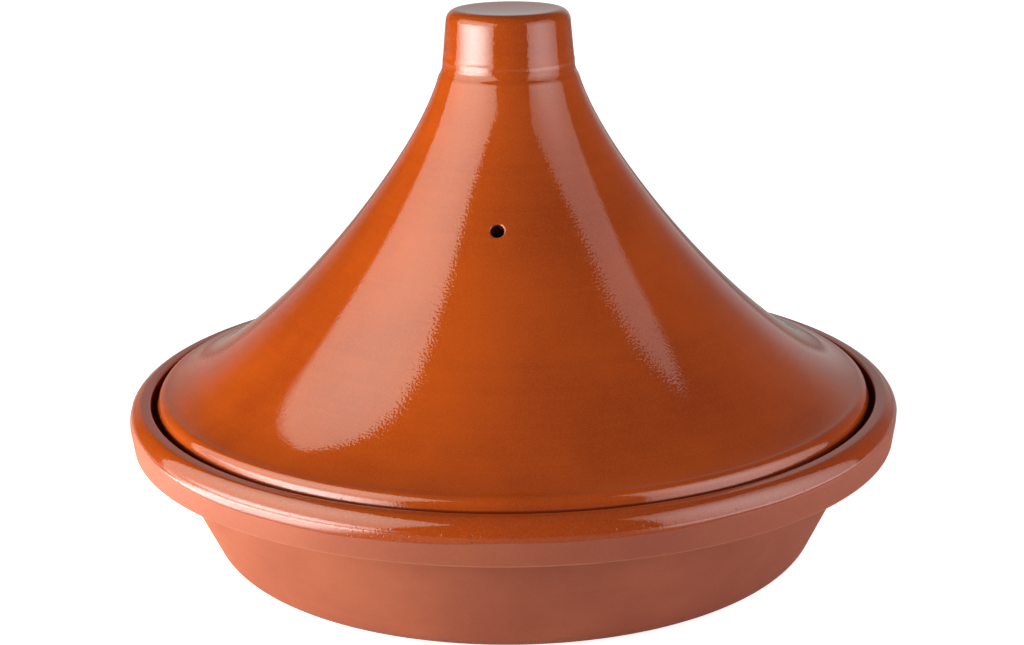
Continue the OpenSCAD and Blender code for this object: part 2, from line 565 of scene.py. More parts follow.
@dataclass(frozen=True)
class BareClay:
    """Bare fired red clay: matt, finely grained and a little dusty, with a painted highlight along the rim's
    lower edge and painted shade on its band.

    Sizes in millimetres.
    """

    edge_radius: float  # radius of the rim's lower edge
    edge_height: float
    edge_round: float
    name: str = "terracotta"

    body: Colour = paint(183, 97, 69)
    # also the colour of the rim band's painted shade
    deep: Colour = paint(166, 84, 61)
    # also the colour of the painted highlight along the rim's lower edge
    dust_and_highlight: Colour = paint(206, 127, 95)
    iron: Colour = paint(124, 60, 44)

    rings: Grain = Grain(2.2, 2.0, tint=0.12, height=0.0075)
    cloud: Grain = Grain(38, 3.0, tint=0.85)
    grain: Grain = Grain(0.6, 3.0, 0.6, tint=0.3, height=0.05)
    grit: Specks = Specks(6, 0.5, 0.35, tint=0.5, height=0.025)
    spots: Specks = Specks(8, 0.5, 0.3, tint=0.5)
    tint_span: Span = (0.25, 0.72)  # cloud and rings together, where the colour is the body's and deep
    grain_span: Span = (0.5, 0.8)  # the grain where no dust shows and where it shows fully
    band_shade_tint: float = 0.6  # how much deeper the rim's band is painted, as painted shade
    # strength of the painted highlight along the rim's lower edge
    edge_highlight_tint: float = 0.6

    refraction: float = 1.45
    specular: float = 0.35
    sheen: float = 0.04
    roughness: float = 0.55
    cloud_roughness: float = 0.12

    highlight_inset: float = 1.5  # how far in from the rim's lower edge the painted highlight reaches
    highlight_rise: float = 0.4  # how far up the edge's round the painted highlight's line runs, as a share of it
    highlight_fade: Span = (0.15, 0.5)  # distances from that line over which it fades
    band_shade_fade: float = 1.0  # and over which the band's painted shade sets in

    def build(self) -> bpy.types.Material:
        """Make the material.

        Returns:
            The material.
        """
        finish = Finish.start(self.name)
        shader, place, height = finish.shader, finish.place, finish.height
        rings, cloud = finish.rings(self.rings), self.cloud.on(shader, place)
        grain, grit = self.grain.on(shader, place), self.grit.on(shader, place)
        # a painted highlight along the rim's lower edge
        line = self.edge_height + self.edge_round * self.highlight_rise
        near, far = self.highlight_fade
        edge_highlight = 1 - (height - line * MM).size().rise(near * MM, far * MM)
        edge_highlight = edge_highlight * finish.radius.above((self.edge_radius - self.highlight_inset) * MM)
        # painted shade on the rim's band, above the highlight's line
        band_shade = height.rise((line - self.band_shade_fade) * MM, (line + self.band_shade_fade) * MM)

        tint = (cloud * self.cloud.tint + rings * self.rings.tint).rise(*self.tint_span)
        colour = shader.mix(tint, self.body, self.deep)
        # painted shade on the rim's band
        colour = shader.mix(band_shade * self.band_shade_tint, colour, self.deep)
        colour = shader.mix(grain.rise(*self.grain_span) * self.grain.tint, colour, self.dust_and_highlight)
        colour = shader.mix(grit * self.grit.tint, colour, self.dust_and_highlight)
        colour = shader.mix(self.spots.on(shader, place) * self.spots.tint, colour, self.iron)
        # painted highlight along the rim's lower edge
        colour = shader.mix(edge_highlight * self.edge_highlight_tint, colour, self.dust_and_highlight)
        relief = grain * self.grain.height + rings * self.rings.height + grit * self.grit.height
        finish.set(IOR=self.refraction, Specular_IOR_Level=self.specular, Sheen_Weight=self.sheen,
                   Base_Color=colour, Roughness=self.roughness + cloud * self.cloud_roughness,
                   Normal=shader.bump(relief))
        return finish.material


# ---- the dish

@dataclass
class Dish:
    """The cooking dish: foot, leaning wall, heavy rim and the lid's seat. Sizes in millimetres."""

    diameter: float = 319.96  # a hair under 320, so that the turned facets stay within the solid's box
    height: float = 66.5
    foot_diameter: float = 247.0
    foot_round: float = 11.6
    foot_ring_width: float = 18.0
    foot_lift: float = 1.2
    foot_step: float = 4.8
    floor_thickness: float = 9.5
    wall_thickness: float = 8.5
    bowl_round: float = 18.0
    rim_thickness: float = 9.3
    rim_height: float = 18.4
    rim_round: float = 8.0
    crown_angle: float = 62.0  # how far up the rim's shoulder its flatter crown begins, in degrees
    crown_fall: float = 0.6  # how far the crown lies below the top of the shoulder's circle
    crown_round: float = 2.6
    rim_inner_round: float = 1.3
    rim_draft: float = 9.5  # how far the rim's outer face leans off upright, in degrees
    rim_edge_round: float = 0.9
    rim_overhang: float = 12.2
    rim_root_round: float = 3.0
    seat_drop: float = 8.0
    seat_width: float = 12.7
    seat_root_round: float = 1.5
    mouth_round: float = 2.0
    coat: float = 0.3  # thickness of the glaze
    coat_tip: float = 0.9  # how far the glaze takes to reach it at its edge
    coat_line: float = 59.6  # mean height of the glaze's edge on the rim
    coat_reach: float = 4.5  # how far above that edge its waves are felt
    steps: int = 320  # of the full turn

    # Distances between the skin's points along the half profile.
    under_step: float = 12.0
    floor_step: float = 8.0
    wall_step: float = 3.0
    seat_step: float = 2.0

    # Waves of the glaze's edge round the rim: how many, their height, and their phase in degrees.
    waves: tuple[tuple[int, float, float], ...] = (
        (1, 1.2, -153), (2, 1.3, 163), (3, 0.9, 114), (5, 0.5, -2), (11, 0.22, 40), (23, 0.12, 75))

    @property
    def radius(self) -> float:
        """Radius over the rim."""
        return self.diameter / 2

    @property
    def seat_height(self) -> float:
        """Height of the lid's seat."""
        return self.height - self.seat_drop

    @property
    def rim_inner_radius(self) -> float:
        """Radius of the rim's inner face."""
        return self.radius - self.rim_thickness

    @property
    def rim_centre(self) -> Vector:
        """Centre of the rim's outer shoulder."""
        return point(self.radius - self.rim_round, self.height - self.rim_round)

    def rim_tangent(self, inset: float) -> Vector:
        """Where the rim's outer face meets its shoulder, on a skin that lies `inset` further in."""
        return self.rim_centre + (self.rim_round - inset) * heading(-self.rim_draft)

    @property
    def rim_low(self) -> Vector:
        """The rim's lower outer edge, before it is rounded.

        Returns:
            The edge's point.
        """
        tangent = self.rim_tangent(0)
        height = self.height - self.rim_height
        return point(tangent.x - (tangent.y - height) * math.tan(math.radians(self.rim_draft)), height)

    @property
    def wall_slope(self) -> float:
        """How far the wall leans out for each step up."""
        return (self.rim_low.x - self.rim_overhang - self.foot_diameter / 2) / self.rim_low.y

    def face_radius(self, height: float) -> float:
        """Radius of the bare clay on the rim's outer face, at a height.

        Args:
            height: the height, in millimetres.

        Returns:
            The radius, in millimetres.
        """
        tangent = self.rim_tangent(self.coat)
        if height < tangent.y:
            share = (tangent.y - height) / (tangent.y - self.rim_low.y)
            return tangent.x + (self.rim_low.x - tangent.x) * share
        rise = height - self.rim_centre.y
        return self.rim_centre.x + math.sqrt((self.rim_round - self.coat) ** 2 - rise ** 2)

    def outside(self) -> Outline:
        """The bare skin, from the middle of the underside up to the rim's outer face.

        Returns:
            The points, in millimetres.
        """
        low = self.rim_low
        root = point(low.x - self.rim_overhang, low.y)
        foot = point(self.foot_diameter / 2, 0)
        flat_end = foot.x - self.foot_round * math.tan((QUARTER_TURN - math.atan(self.wall_slope)) / 2)
        recess = point(flat_end - self.foot_ring_width, self.foot_lift)
        ring = point(recess.x + self.foot_step, 0)
        middle = point(0, self.foot_lift)
        heel = rounded(ring, foot, root, self.foot_round, ROUND_STEPS)
        return [
            middle,
            *straight(middle, recess, self.under_step),
            *rounded(middle, recess, ring, self.foot_lift),
            *rounded(recess, ring, foot, self.foot_lift),
            *heel,
            *straight(heel[-1], root, self.wall_step),
            *rounded(foot, root, low, self.rim_root_round),
            *rounded(root, low, self.rim_tangent(self.coat), self.rim_edge_round),
        ]

    def inside(self, inset: float, start: float) -> Outline:
        """The rim's shoulder and crown, the seat and the inside of the bowl, on a skin `inset` further in.

        Args:
            inset: how far the skin lies behind the glaze's surface, in millimetres.
            start: the height on the rim's shoulder at which it begins.

        Returns:
            The points, from the shoulder to the middle of the floor.
        """
        shoulder = self.rim_round - inset
        first = math.degrees(math.asin((start - self.rim_centre.y) / shoulder))
        crown = self.height - self.crown_fall - inset
        inner = self.rim_inner_radius + inset
        brow = arc(self.rim_centre, shoulder, first, self.crown_angle, BROW_STEPS)
        way = heading(self.crown_angle + 90)
        corner = brow[-1] + way * (crown - brow[-1].y) / way.y
        seat = self.seat_height - inset
        mouth = point(inner - self.seat_width, seat)
        floor_radius = self.foot_diameter / 2 + self.floor_thickness * self.wall_slope - self.wall_thickness
        floor_edge = point(floor_radius + inset, self.floor_thickness - inset)
        middle = point(0, self.floor_thickness - inset)
        shelf = rounded(point(inner, crown), point(inner, seat), mouth, self.seat_root_round)
        lip = rounded(point(inner, seat), mouth, floor_edge, self.mouth_round)
        heel = rounded(mouth, floor_edge, middle, self.bowl_round, ROUND_STEPS)
        return [
            *brow[:-1],
            *rounded(brow[-1], corner, point(inner, crown), self.crown_round),
            *rounded(corner, point(inner, crown), point(inner, seat), self.rim_inner_round),
            *shelf,
            *straight(shelf[-1], lip[0], self.seat_step),
            *lip,
            *straight(lip[-1], heel[0], self.wall_step),
            *heel,
            *straight(heel[-1], middle, self.floor_step),
            middle,
        ]

    def edge_shift(self, place: Vector) -> float:
        """How far the waves lift the glaze's edge at a place round the rim, in millimetres."""
        angle = math.atan2(place.x, -place.y)
        return sum(size * math.cos(count * angle - math.radians(phase)) for count, size, phase in self.waves)

    def ripple(self, mesh: bmesh.types.BMesh) -> None:
        """Let the glaze's edge run up and down in waves, on the rim's outer face.

        Args:
            mesh: the glaze's skin.
        """
        for vertex in mesh.verts:
            height = vertex.co.z / MM
            radius = radius_of(vertex.co) / MM
            if radius < self.rim_centre.x or height > self.coat_line + self.coat_reach:
                continue
            share = 1 - smooth(height, self.coat_line, self.coat_line + self.coat_reach)
            moved = height + share * self.edge_shift(vertex.co)
            set_radius(vertex.co, (radius - self.face_radius(height) + self.face_radius(moved)) * MM)
            vertex.co.z = moved * MM

    def coat_edge(self, share: float) -> Vector:
        """A point of the glaze's rounded edge, from the bare clay at 0 to the full coat at 1.

        Args:
            share: how far along the edge the point lies.

        Returns:
            The point.
        """
        rise = self.coat_tip * (1 - math.cos(QUARTER_TURN * share))
        proud = self.coat * math.sqrt(1 - (1 - rise / self.coat_tip) ** 2)
        return point(self.face_radius(self.coat_line + rise) + proud, self.coat_line + rise)

    def build(self, clay: bpy.types.Material, glaze: bpy.types.Material) -> None:
        """Make the clay body and its coat of glaze.

        Args:
            clay: the bare clay's material.
            glaze: the glaze's material.
        """
        body = turn(self.outside() + self.inside(self.coat, self.rim_tangent(self.coat).y), self.steps)
        finish_piece("dish_clay", body, [clay], "dish", "dish")

        tip = [self.coat_edge(i / EASE_STEPS) for i in range(EASE_STEPS)]
        outer = self.inside(0, self.coat_line + self.coat_tip)
        inner = self.inside(self.coat, self.coat_line)
        skin = turn(outer[::-1] + tip[::-1] + inner[1:], self.steps)
        self.ripple(skin)
        finish_piece("dish_glaze", skin, [glaze], "dish", "dish")


# ---- the lid

@dataclass
class Flare:
    """The lid's flared side: one smooth curve from the neck down to the lip."""

    top: Vector
    top_pull: Vector
    end_pull: Vector
    end: Vector

    def at(self, share: float) -> Vector:
        """The curve's point at a share.

        Args:
            share: how far along, 0 at the neck and 1 at the lip.

        Returns:
            The point.
        """
        rest = 1 - share
        return (self.top * rest ** 3 + self.top_pull * (3 * share * rest ** 2)
                + self.end_pull * (3 * share ** 2 * rest) + self.end * share ** 3)

    def way(self, share: float) -> Vector:
        """The direction in which the curve runs down at a share.

        Args:
            share: how far along, 0 at the neck and 1 at the lip.

        Returns:
            The direction, of length 1.
        """
        rest = 1 - share
        return ((self.top_pull - self.top) * rest ** 2 + (self.end_pull - self.top_pull) * (2 * share * rest)
                + (self.end - self.end_pull) * share ** 2).normalized()

    def normal(self, share: float) -> Vector:
        """The outward normal at a share."""
        way = self.way(share)
        return Vector((-way.y, way.x))

    def behind(self, share: float, depth: float) -> Vector:
        """The point `depth` millimetres behind the curve at a share."""
        return self.at(share) - self.normal(share) * depth

    def where(self, test: Callable[[float], bool]) -> float:
        """The share at which a test turns from true to false, by halving.

        Args:
            test: a test of a share.

        Returns:
            The share.
        """
        low, high = 0.0, 1.0
        for _ in range(HALVINGS):
            middle = (low + high) / 2
            low, high = (middle, high) if test(middle) else (low, middle)
        return (low + high) / 2

    def nearest(self, place: Vector) -> float:
        """The share of the curve's point nearest to a place of radius and height."""
        return self.where(lambda share: (place - self.at(share)).dot(self.way(share)) > 0)

    def shares(self, start: float, end: float, spacing: float) -> list[float]:
        """Shares from one to another, evenly far apart along the curve, both ends included.

        Args:
            start: the first share.
            end: the last share.
            spacing: about how far apart their points lie, in millimetres.

        Returns:
            The shares.
        """
        fine = [start + (end - start) * i / FLARE_STEPS for i in range(FLARE_STEPS + 1)]
        run = [0.0]
        for before, after in zip(fine, fine[1:]):
            run.append(run[-1] + (self.at(after) - self.at(before)).length)
        steps = max(1, round(run[-1] / spacing))
        picked, index = [], 0
        for step in range(steps + 1):
            wanted = run[-1] * step / steps
            while index < len(run) - 2 and run[index + 1] < wanted:
                index += 1
            part = (wanted - run[index]) / (run[index + 1] - run[index])
            picked.append(fine[index] + (fine[index + 1] - fine[index]) * part)
        return picked


@dataclass
class Lid:
    """The conical lid: knob, flare, lip and steam vent. Sizes in millimetres, heights above the seat."""

    dish: Dish
    height: float = 164.2
    gap: float = 3.0
    wall: float = 8.5
    lip_height: float = 11.2
    lip_round: float = 4.0
    lip_lean: float = 17.0  # degrees off upright of the lip's outer face
    lip_lean_end: float = 5.5  # height down to which it leans
    lip_foot_round: float = 1.8
    lip_width: float = 10.2
    neck_diameter: float = 57.2
    neck_angle: float = 17.0
    neck_pull: float = 42.0
    brim_angle: float = 11.4
    brim_pull: float = 32.0
    knob_height: float = 24.2
    knob_base_diameter: float = 53.9
    knob_top_diameter: float = 49.4
    knob_round: float = 4.4
    knob_dish: float = 0.6
    shoulder_height: float = 3.0
    shoulder_slope: float = 33.0  # degrees off upright of the shoulder's first, short stretch
    crease_round: float = 6.5
    ridge_round: float = 5.5
    mark_drop: float = 20.2  # how far below the knob's top its turning mark runs
    mark_height: float = 0.12  # how far the mark stands proud
    mark_width: float = 0.9
    knob_cap: float = 9.0
    hollow_round: float = 8.0
    vent_diameter: float = 5.2
    vent_height: float = 86.7
    vent_soft: float = 0.9
    vent_cells: int = 3  # cells of the skin from the vent's middle to its cut
    vent_reach: int = 9  # cells from its middle to where the skin is left alone
    cell: float = 1.42  # distance between the skin's points down the flare
    vent_steps: int = 7  # straight steps in the round of its mouth
    bore_steps: int = 3  # and down its bore
    vent_ease: float = 0.9  # how deep its inner round is, as a share of its width
    coat: float = 0.25  # thickness of the glaze where it stops round the foot
    coat_end: float = 50.0  # how far round the foot it reaches, in degrees below level
    clay_start: float = 52.0  # and where the bare clay begins
    clay_height: float = 0.55  # height up to which the foot is bare
    sway: float = 0.10  # height of the slow unevenness of the turned skin
    sway_length: float = 38.0  # and its length
    steps: int = 256  # of the full turn

    # Distances between the skin's points along the half profile, other than down the flare.
    knob_step: float = 1.5
    mark_step: float = 0.35
    lip_step: float = 0.5
    lip_low_step: float = 1.0
    foot_step: float = 2.0
    hollow_step: float = 3.0

    flare: Flare = field(init=False)
    vent_share: float = field(init=False)

    def __post_init__(self) -> None:
        """Work out the flare's curve and where the vent sits on it."""
        top = point(self.neck_diameter / 2, self.height - self.knob_height - self.shoulder_height)
        end = point(self.lip_radius - self.lip_round, self.lip_height)
        self.flare = Flare(top, top + self.neck_pull * heading(self.neck_angle - 90),
                           end + self.brim_pull * heading(180 - self.brim_angle), end)
        self.vent_share = self.flare.where(lambda share: self.flare.at(share).y > self.vent_height)

    @property
    def lip_radius(self) -> float:
        """Radius over the lip."""
        return self.dish.rim_inner_radius - self.gap

    @property
    def lip_inner_radius(self) -> float:
        """Radius of the lip's inner foot edge, before it is rounded."""
        return self.lip_radius - self.lip_width

    @property
    def knob_flat_radius(self) -> float:
        """Radius of the knob's dished top."""
        return self.knob_top_diameter / 2 - self.knob_round

    def knob_outline(self) -> Outline:
        """From the middle of the knob's top down to the neck.

        Returns:
            The points, in millimetres.
        """
        sphere = (self.knob_flat_radius ** 2 + self.knob_dish ** 2) / (2 * self.knob_dish)
        sweep = math.degrees(math.asin(self.knob_flat_radius / sphere))
        above = point(0, self.height - self.knob_dish + sphere)
        bowl = arc(above, sphere, -90, sweep - 90, KNOB_TOP_STEPS)
        top = point(self.knob_top_diameter / 2, self.height)
        base = point(self.knob_base_diameter / 2, self.height - self.knob_height)
        neck = self.flare.at(0)
        steep, gentle = math.tan(math.radians(self.shoulder_slope)), math.tan(math.radians(self.neck_angle))
        drop = (neck.x - base.x - gentle * self.shoulder_height) / (steep - gentle)
        ridge = base + drop * Vector((steep, -1))
        brow = rounded(point(0, self.height), top, base, self.knob_round, ROUND_STEPS)
        crease = rounded(top, base, ridge, self.crease_round)
        mark = self.height - self.mark_drop
        high, low = (brow[-1].lerp(crease[0], (brow[-1].y - height) / (brow[-1].y - crease[0].y))
                     for height in (mark + 2 * self.mark_width, mark - 2 * self.mark_width))
        ring = [high, *straight(high, low, self.mark_step), low]
        for place in ring:
            place.x += self.mark_height * math.exp(-((place.y - mark) / self.mark_width) ** 2)
        return [
            *bowl[:-1], *brow, *straight(brow[-1], high, self.knob_step), *ring,
            *straight(low, crease[0], self.knob_step), *crease,
            *rounded(base, ridge, neck, self.ridge_round), neck]

    def flare_shares(self) -> list[float]:
        """Shares down the flare, with one exactly at the vent, so that the vent sits on the skin's grid.

        Returns:
            The shares.
        """
        above = self.flare.shares(0, self.vent_share, self.cell)
        below = self.flare.shares(self.vent_share, 1, self.cell)
        return above + below[1:]

    def lip_outline(self) -> Outline:
        """Round the lip's edge and foot to its inner face: the glazed edge, bare foot and glazed edge.

        Returns:
            The points, in millimetres.
        """
        lip, foot = self.lip_radius, self.lip_foot_round
        centre = point(lip - self.lip_round, self.lip_height - self.lip_round)
        upper = arc(centre, self.lip_round, 90, self.lip_lean, LIP_STEPS)
        drop = upper[-1].y - self.lip_lean_end
        belly = point(upper[-1].x + drop * math.tan(math.radians(self.lip_lean)), self.lip_lean_end)
        outer = arc(point(lip - foot, foot), foot, 0, -self.coat_end, COAT_END_STEPS)
        outer_clay = arc(point(lip - foot - self.coat, foot), foot, -self.clay_start, -90, BARE_FOOT_STEPS)
        inner_foot = point(self.lip_inner_radius, 0)
        wall_end = self.flare.behind(self.last_share, self.wall)
        inner = rounded(point(lip, 0), inner_foot, wall_end, foot, LIP_STEPS)
        return [*upper[1:], *straight(upper[-1], belly, self.lip_step), belly,
                *straight(belly, outer[0], self.lip_low_step), *outer, *outer_clay,
                *straight(outer_clay[-1], inner[0], self.foot_step), *inner]

    @property
    def last_share(self) -> float:
        """The flare's share at which its inner face meets the foot."""
        limit = self.lip_inner_radius - self.lip_foot_round
        return self.flare.where(lambda share: self.flare.behind(share, self.wall).x < limit)

    def hollow_outline(self) -> Outline:
        """Up the inner face to the middle of the hollow in the knob.

        Returns:
            The points, in millimetres.
        """
        top = self.height - self.knob_cap
        last = self.last_share
        shares = [share for share in self.flare_shares() if share < last]
        face = [self.flare.behind(share, self.wall) for share in [last, *shares[::-1]]]
        edge = point(self.knob_top_diameter / 2 - self.wall, top)
        middle = point(0, top)
        vault = rounded(face[-1], edge, middle, self.hollow_round, ROUND_STEPS)
        return [*face, *straight(face[-1], vault[0], self.hollow_step), *vault,
                *straight(vault[-1], middle, self.hollow_step), middle]

    def vent_frame(self) -> Matrix:
        """The vent's own axes, in millimetres: X across, Y up the flare and Z out along the bore.

        Returns:
            The matrix from those axes to the pot.
        """
        mouth, normal = self.flare.at(self.vent_share), self.flare.normal(self.vent_share)
        out = Vector((0, -normal.x, normal.y))
        across = Vector((1, 0, 0))
        up = out.cross(across)
        place = Vector((0, -mouth.x, mouth.y + self.dish.seat_height))
        return Matrix.Translation(place) @ Matrix((across, up, out)).transposed().to_4x4()

    def open_skin(self, mesh: bmesh.types.BMesh, depth: float, size: float) -> list[bmesh.types.BMEdge]:
        """Cut a round opening for the vent in one face of the wall.

        Args:
            mesh: the lid's skin.
            depth: how far that face lies behind the flare, in millimetres.
            size: the opening's radius, in millimetres.

        Returns:
            The edges round the opening.
        """
        frame_of_vent = self.vent_frame()
        to_vent = frame_of_vent.inverted()
        across = FULL_TURN / self.steps * self.flare.behind(self.vent_share, depth).x
        near, spans = {}, {}
        for vertex in mesh.verts:
            local = to_vent @ (vertex.co / MM)
            span = max(abs(local.x) / across, abs(local.y) / self.cell)
            if span < self.vent_reach and abs(local.z + depth) < self.wall * SAME_FACE:
                near[vertex], spans[vertex] = local, span
        last = self.vent_cells + CELL_SLACK
        doomed = [face for face in mesh.faces if all(spans.get(vertex, last) < last for vertex in face.verts)]
        bmesh.ops.delete(mesh, geom=doomed, context="FACES")
        rim = set()
        for vertex, local in near.items():
            if not vertex.is_valid:
                continue
            share = smooth(spans[vertex], self.vent_cells, self.vent_reach)
            wanted = size * spans[vertex] / self.vent_cells
            factor = wanted / math.hypot(local.x, local.y) * (1 - share) + share
            vertex.co = frame_of_vent @ Vector((local.x * factor, local.y * factor, local.z)) * MM
            self.settle(vertex.co, depth)
            if abs(spans[vertex] - self.vent_cells) < CELL_SLACK:
                rim.add(vertex)
        return [edge for edge in mesh.edges if edge.is_boundary and rim.issuperset(edge.verts)]

    def settle(self, place: Vector, depth: float) -> None:
        """Put a place back on the flare, `depth` millimetres behind its outer face.

        Args:
            place: the place, in metres, which this changes.
            depth: how far behind.
        """
        flat = point(radius_of(place), place.z) / MM - point(0, self.dish.seat_height)
        share = self.flare.nearest(flat)
        back = self.flare.behind(share, depth)
        set_radius(place, back.x * MM)
        place.z = (back.y + self.dish.seat_height) * MM

    def cut_vent(self, mesh: bmesh.types.BMesh) -> None:
        """Cut the steam vent through the wall, with its glaze-softened mouth.

        Args:
            mesh: the lid's skin.
        """
        bore, soft = self.vent_diameter / 2, self.vent_soft
        mouth, deep = bore + soft, self.wall - soft
        edges, inner = self.open_skin(mesh, 0, mouth), self.open_skin(mesh, self.wall, mouth)
        frame_of_vent = self.vent_frame()
        to_vent = frame_of_vent.inverted()
        angles = [QUARTER_TURN * i / self.vent_steps for i in range(self.vent_steps + 1)]
        stations = [
            *((mouth - soft * math.sin(a), -soft * (1 - math.cos(a))) for a in angles[1:]),
            *((bore, -soft - (deep - soft) * (i / self.bore_steps)) for i in range(1, self.bore_steps)),
            *((bore + soft * (1 - math.cos(a)), -deep - soft * self.vent_ease * math.sin(a))
              for a in angles[:-1]),
        ]
        lowered = {}
        for radius, level in stations:
            made = bmesh.ops.extrude_edge_only(mesh, edges=edges)["geom"]
            for vertex in (item for item in made if isinstance(item, bmesh.types.BMVert)):
                local = to_vent @ (vertex.co / MM)
                angle = math.atan2(local.y, local.x)
                start = lowered.setdefault(round(math.degrees(angle)), local.z)
                height = level + start * max(0.0, 1 + level / soft)
                place = Vector((radius * math.cos(angle), radius * math.sin(angle), height))
                vertex.co = frame_of_vent @ place * MM
            edges = [item for item in made if isinstance(item, bmesh.types.BMEdge) and item.is_boundary]
        bmesh.ops.bridge_loops(mesh, edges=edges + inner)

    def weather(self, mesh: bmesh.types.BMesh) -> None:
        """Give the turned skin the slow unevenness of hand finishing.

        Args:
            mesh: the lid's skin.
        """
        mesh.normal_update()
        for vertex in mesh.verts:
            height = vertex.co.z / MM - self.dish.seat_height
            if self.coat < height < self.height - self.knob_round:
                vertex.co += vertex.normal * noise.noise(vertex.co / (self.sway_length * MM)) * self.sway * MM

    def build(self, clay: bpy.types.Material, glaze: bpy.types.Material) -> None:
        """Make the lid.

        Args:
            clay: the bare clay's material.
            glaze: the glaze's material.
        """
        face = [self.flare.at(share) for share in self.flare_shares()]
        outline = [*self.knob_outline()[:-1], *face, *self.lip_outline(), *self.hollow_outline()[1:]]
        lift = point(0, self.dish.seat_height)
        mesh = turn([place + lift for place in outline], self.steps)
        self.cut_vent(mesh)
        bmesh.ops.recalc_face_normals(mesh, faces=mesh.faces)
        self.weather(mesh)
        for face_made in mesh.faces:
            middle = face_made.calc_center_median() / MM
            low = middle.z - self.dish.seat_height < self.clay_height
            face_made.material_index = int(low and radius_of(middle) > self.lip_inner_radius)
        finish_piece("lid_glazed", mesh, [glaze, clay], "lid", "lid")


# ---- the studio

class Use(Enum):
    """What a softbox is for."""

    LIGHT = "light"  # it lights the clay's and the glaze's own colour
    GLEAM = "gleam"  # it is what the glaze mirrors


class Tint(Enum):
    """The colour of a softbox's light."""

    PLAIN = (1.0, 1.0, 1.0)
    WARM = (0.88, 0.97, 0.85)
    ROSY = (1.0, 0.93, 0.93)
    SUNNY = (1.0, 1.06, 0.9)
    COOL = (0.87, 1.0, 1.04)


@dataclass(frozen=True)
class Softbox:
    """A softbox that stands upright beside the pot. Sizes in millimetres, angles in degrees."""

    name: str
    use: Use
    azimuth: float  # where it stands, to the right of the camera
    distance: float  # from the pot's axis
    width: float
    bottom: float
    top: float
    radiance: float  # 1 shows as white
    turn: float = 0.0  # how far it is turned from facing the pot
    lean: float = 0.0  # how far it leans over the pot
    edge: float = 1.0  # its radiance at the edges, as a share of that in its bright middle
    middle: tuple[float, float] = (0.5, 0.5)  # where that middle lies, in shares of its width and height
    reach: float = 0.5  # how far from there it fades, as such a share
    tint: Tint = Tint.PLAIN

    def build(self, facing: float) -> None:
        """Make the lamp.

        Args:
            facing: the camera's azimuth, in degrees.
        """
        lamp = bpy.data.lights.new(self.name, "AREA")
        lamp.shape = "RECTANGLE"
        lamp.size = self.width * MM
        lamp.size_y = (self.top - self.bottom) * MM
        lamp.energy = math.pi * lamp.size * lamp.size_y * self.radiance
        lamp.color = self.tint.value
        if self.edge < 1:
            self.soften(lamp)
        made = add_object(self.name, lamp)
        angle = math.radians(facing + self.azimuth)
        made.location = Vector((self.distance * math.sin(angle), -self.distance * math.cos(angle),
                                (self.bottom + self.top) / 2)) * MM
        made.rotation_euler = (math.radians(90 - self.lean), 0, angle + math.radians(self.turn))
        made.visible_camera = False
        made.visible_diffuse = self.use is Use.LIGHT
        made.visible_glossy = self.use is Use.GLEAM

    def soften(self, lamp: bpy.types.AreaLight) -> None:
        """Let the lamp fade from its bright middle to its edges.

        Args:
            lamp: the lamp, which this changes.
        """
        lamp.use_nodes = True
        shader = Shader(lamp.node_tree)
        place = shader.wire(shader.node("ShaderNodeNewGeometry"), "Parametric")
        across, up, _ = shader.axes(place)
        across, up = across - self.middle[0], up - self.middle[1]
        glow = 1 - (across * across + up * up).power(0.5).rise(0.0, self.reach) * (1 - self.edge)
        connect(shader.tree, glow, lamp.node_tree.nodes["Emission"].inputs["Strength"])


@dataclass(frozen=True)
class Spill:
    """The bright table at a softbox's foot, as the glaze mirrors it.

    Sizes in millimetres, angles in degrees.
    """

    azimuth: float  # where it lies, to the right of the camera
    spread: float  # how far to either side it fades away
    near: float  # distance from the pot's axis where it begins
    far: float  # and where it is full
    radiance: float
    core: float = 0.4  # share of its spread over which it is full

    def glow(self, x: Wire, y: Wire, facing: float) -> Wire:
        """How brightly the table is mirrored.

        Args:
            x: the X of the table's point, in metres.
            y: its Y.
            facing: the camera's azimuth, in degrees.

        Returns:
            The radiance.
        """
        angle = math.radians(facing + self.azimuth)
        radius = (x * x + y * y).power(0.5)
        toward = (x * math.sin(angle) - y * math.cos(angle)) / radius
        full, gone = math.cos(math.radians(self.spread * self.core)), math.cos(math.radians(self.spread))
        return toward.rise(gone, full) * radius.rise(self.near * MM, self.far * MM) * self.radiance


